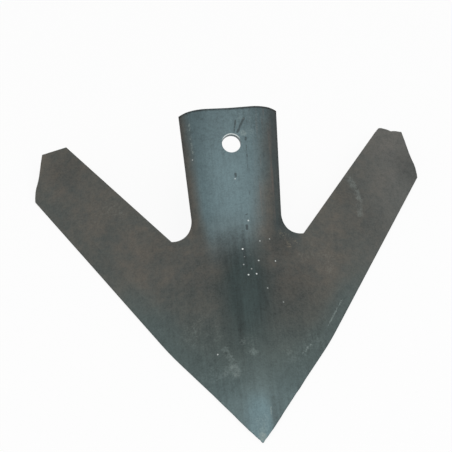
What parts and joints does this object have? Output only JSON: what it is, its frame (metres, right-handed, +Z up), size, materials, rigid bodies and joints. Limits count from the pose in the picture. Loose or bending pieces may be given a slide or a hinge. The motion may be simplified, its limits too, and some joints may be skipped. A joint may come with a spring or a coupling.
{
  "type": "weeder knife",
  "caption": "V-shaped cultivator sweep pressed from one steel plate: two bevelled wings, a rounded crown and a trough-shaped stem with a bolt hole.",
  "frame": {"origin": "on the ground plane that the leading edges run on, in the middle of the width and half-way between the nose and the wing ends", "axes": "-Y points to the nose, the way the knife travels through the soil; +Z is up; X runs across the span, and the knife is symmetric about X = 0"},
  "size_m": [0.2702, 0.2501, 0.0739],
  "materials": {
    "scaled_steel": "dark blue-grey forging scale, semi-matt, with brown mottling on the wings"
  },
  "bodies": {
    "root": {"weeder_knife": "scaled_steel"}
  },
  "joints": []
}
